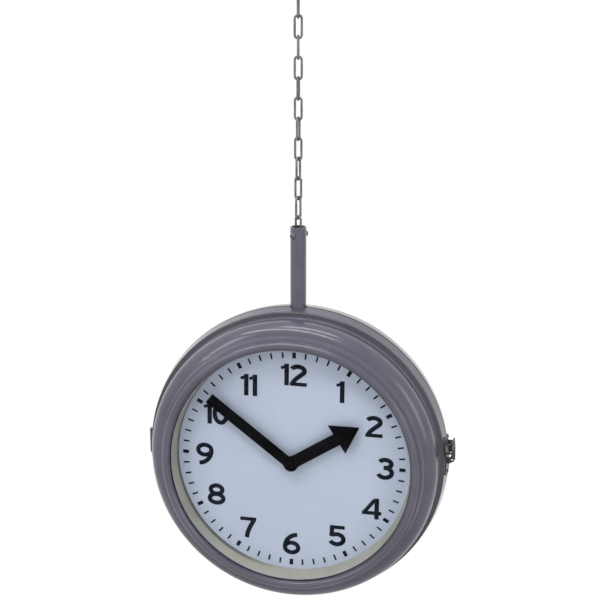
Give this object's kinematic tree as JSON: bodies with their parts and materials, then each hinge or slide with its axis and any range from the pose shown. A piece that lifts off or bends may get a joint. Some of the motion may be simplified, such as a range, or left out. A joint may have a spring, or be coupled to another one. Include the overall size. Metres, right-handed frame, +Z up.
{
  "type": "double sided station clock",
  "caption": "Round double faced hanging clock in a hinged clamshell case, on a chain from a ceiling hook and a short tube, with hands and a battery movement on each side.",
  "frame": {"origin": "middle of the ceiling plate's top face", "axes": "+Z up out of the ceiling plate, front dial faces -Y, +X to the right of a person who reads the front dial"},
  "size_m": [0.4283, 0.1412, 0.8697],
  "materials": {
    "grey_paint": "satin grey enamel",
    "chain_steel": "dull zinc",
    "dial_white": "smooth printed enamel",
    "cream_paint": "satin enamel",
    "black_paint": "semi-matt black paint",
    "clear_glass": "polished",
    "bare_steel": "plain",
    "latch_steel": "dark satin",
    "movement_plastic": "moulded",
    "wheel_plastic": "moulded",
    "brass_nut": "turned",
    "cell_jacket": "printed sleeve"
  },
  "bodies": {
    "ceiling_mount": {"ceiling_plate": "grey_paint", "ceiling_hook": "chain_steel"},
    "link_01": {"chain_link_01": "chain_steel"},
    "link_02": {"chain_link_02": "chain_steel"},
    "link_03": {"chain_link_03": "chain_steel"},
    "link_04": {"chain_link_04": "chain_steel"},
    "link_05": {"chain_link_05": "chain_steel"},
    "link_06": {"chain_link_06": "chain_steel"},
    "link_07": {"chain_link_07": "chain_steel"},
    "link_08": {"chain_link_08": "chain_steel"},
    "link_09": {"chain_link_09": "chain_steel"},
    "link_10": {"chain_link_10": "chain_steel"},
    "link_11": {"chain_link_11": "chain_steel"},
    "link_12": {"chain_link_12": "chain_steel"},
    "link_13": {"chain_link_13": "chain_steel"},
    "clock_case": {"down_tube": "grey_paint", "hanger_bolt": "grey_paint", "hanger_nut": "grey_paint", "tube_nut": "bare_steel", "centre_hoop": "bare_steel", "hinge_rear_leaf": "latch_steel", "hinge_pin": "bare_steel", "latch_keeper": "latch_steel", "rear_shell": "grey_paint", "rear_rivets": "latch_steel", "rear_glass": "clear_glass", "rear_glass_ring": "grey_paint", "rear_surround": "cream_paint", "rear_dial": "dial_white", "rear_movement_case": "movement_plastic", "rear_movement_back": "movement_plastic", "rear_fixing_nut": "brass_nut", "rear_battery": "cell_jacket"},
    "front_case": {"hinge_front_leaf": "latch_steel", "latch_base": "latch_steel", "front_shell": "grey_paint", "front_rivets": "latch_steel", "front_glass": "clear_glass", "front_glass_ring": "grey_paint", "front_surround": "cream_paint", "front_dial": "dial_white", "front_movement_case": "movement_plastic", "front_movement_back": "movement_plastic", "front_fixing_nut": "brass_nut", "front_battery": "cell_jacket"},
    "latch_lever": {"latch_lever": "latch_steel"},
    "latch_bail": {"latch_bail": "latch_steel"},
    "front_minute": {"front_cannon_pinion": "brass_nut", "front_minute_hand": "black_paint", "front_hand_cap": "black_paint"},
    "front_hour": {"front_hour_wheel": "wheel_plastic", "front_hour_hand": "black_paint"},
    "front_set": {"front_set_wheel": "wheel_plastic"},
    "rear_minute": {"rear_cannon_pinion": "brass_nut", "rear_minute_hand": "black_paint", "rear_hand_cap": "black_paint"},
    "rear_hour": {"rear_hour_wheel": "wheel_plastic", "rear_hour_hand": "black_paint"},
    "rear_set": {"rear_set_wheel": "wheel_plastic"}
  },
  "joints": [
    {"name": "link_01_swing", "type": "hinge", "parent": "ceiling_mount", "child": "link_01", "pos_m": [0, 0, -0.028], "axis": [-0.3746, 0.9272, 0], "range_deg": [-12, 12]},
    {"name": "link_02_swing", "type": "hinge", "parent": "link_01", "child": "link_02", "pos_m": [0, 0, -0.053], "axis": [0.9272, 0.3746, 0], "range_deg": [-12, 12]},
    {"name": "link_03_swing", "type": "hinge", "parent": "link_02", "child": "link_03", "pos_m": [0, 0, -0.079], "axis": [0.3007, -0.9537, 0], "range_deg": [-12, 12]},
    {"name": "link_04_swing", "type": "hinge", "parent": "link_03", "child": "link_04", "pos_m": [0, 0, -0.105], "axis": [-0.9744, -0.225, 0], "range_deg": [-12, 12]},
    {"name": "link_05_swing", "type": "hinge", "parent": "link_04", "child": "link_05", "pos_m": [0, 0, -0.131], "axis": [-0.1478, 0.989, 0], "range_deg": [-12, 12]},
    {"name": "link_06_swing", "type": "hinge", "parent": "link_05", "child": "link_06", "pos_m": [0, 0, -0.157], "axis": [0.9976, 0.0698, 0], "range_deg": [-12, 12]},
    {"name": "link_07_swing", "type": "hinge", "parent": "link_06", "child": "link_07", "pos_m": [0, 0, -0.183], "axis": [-0.0087, -1, 0], "range_deg": [-12, 12]},
    {"name": "link_08_swing", "type": "hinge", "parent": "link_07", "child": "link_08", "pos_m": [0, 0, -0.209], "axis": [-0.9962, 0.0872, 0], "range_deg": [-12, 12]},
    {"name": "link_09_swing", "type": "hinge", "parent": "link_08", "child": "link_09", "pos_m": [0, 0, -0.235], "axis": [0.165, 0.9863, 0], "range_deg": [-12, 12]},
    {"name": "link_10_swing", "type": "hinge", "parent": "link_09", "child": "link_10", "pos_m": [0, 0, -0.261], "axis": [0.9703, -0.2419, 0], "range_deg": [-12, 12]},
    {"name": "link_11_swing", "type": "hinge", "parent": "link_10", "child": "link_11", "pos_m": [0, 0, -0.287], "axis": [-0.3173, -0.9483, 0], "range_deg": [-12, 12]},
    {"name": "link_12_swing", "type": "hinge", "parent": "link_11", "child": "link_12", "pos_m": [0, 0, -0.313], "axis": [-0.9205, 0.3907, 0], "range_deg": [-12, 12]},
    {"name": "link_13_swing", "type": "hinge", "parent": "link_12", "child": "link_13", "pos_m": [0, 0, -0.339], "axis": [0.4617, 0.887, 0], "range_deg": [-12, 12]},
    {"name": "case_swing", "type": "hinge", "parent": "link_13", "child": "clock_case", "pos_m": [0, 0, -0.36085], "axis": [-0.5299, -0.848, 0], "range_deg": [-10, 10]},
    {"name": "case_hinge", "type": "hinge", "parent": "clock_case", "child": "front_case", "pos_m": [-0.20875, 0, -0.66385], "axis": [0, 0, -1], "range_deg": [0, 105]},
    {"name": "latch_lever_pivot", "type": "hinge", "parent": "front_case", "child": "latch_lever", "pos_m": [0.2116, -0.008, -0.64345], "axis": [0, 0, 1], "range_deg": [-6, 84]},
    {"name": "latch_bail_pivot", "type": "hinge", "parent": "latch_lever", "child": "latch_bail", "pos_m": [0.21098, -0.0136, -0.64345], "axis": [0, 0, -1], "range_deg": [-12, 168]},
    {"name": "front_minute_turn", "type": "hinge", "parent": "front_case", "child": "front_minute", "pos_m": [0, -0.0383, -0.66385], "axis": [0, 1, 0], "continuous": true},
    {"name": "front_hour_turn", "type": "hinge", "parent": "front_case", "child": "front_hour", "pos_m": [0, -0.0383, -0.66385], "axis": [0, 1, 0], "continuous": true},
    {"name": "front_set_turn", "type": "hinge", "parent": "front_case", "child": "front_set", "pos_m": [0, -0.0383, -0.65185], "axis": [0, 1, 0], "continuous": true},
    {"name": "rear_minute_turn", "type": "hinge", "parent": "clock_case", "child": "rear_minute", "pos_m": [0, 0.0383, -0.66385], "axis": [0, -1, 0], "continuous": true},
    {"name": "rear_hour_turn", "type": "hinge", "parent": "clock_case", "child": "rear_hour", "pos_m": [0, 0.0383, -0.66385], "axis": [0, -1, 0], "continuous": true},
    {"name": "rear_set_turn", "type": "hinge", "parent": "clock_case", "child": "rear_set", "pos_m": [0, 0.0383, -0.65185], "axis": [0, -1, 0], "continuous": true}
  ],
  "couplings": [
    {"joint": "latch_bail_pivot", "follows": "latch_lever_pivot", "ratio": 2},
    {"joint": "front_hour_turn", "follows": "front_minute_turn", "ratio": 0.083333},
    {"joint": "front_set_turn", "follows": "front_minute_turn", "ratio": -0.33333},
    {"joint": "rear_hour_turn", "follows": "rear_minute_turn", "ratio": 0.083333},
    {"joint": "rear_set_turn", "follows": "rear_minute_turn", "ratio": -0.33333}
  ]
}
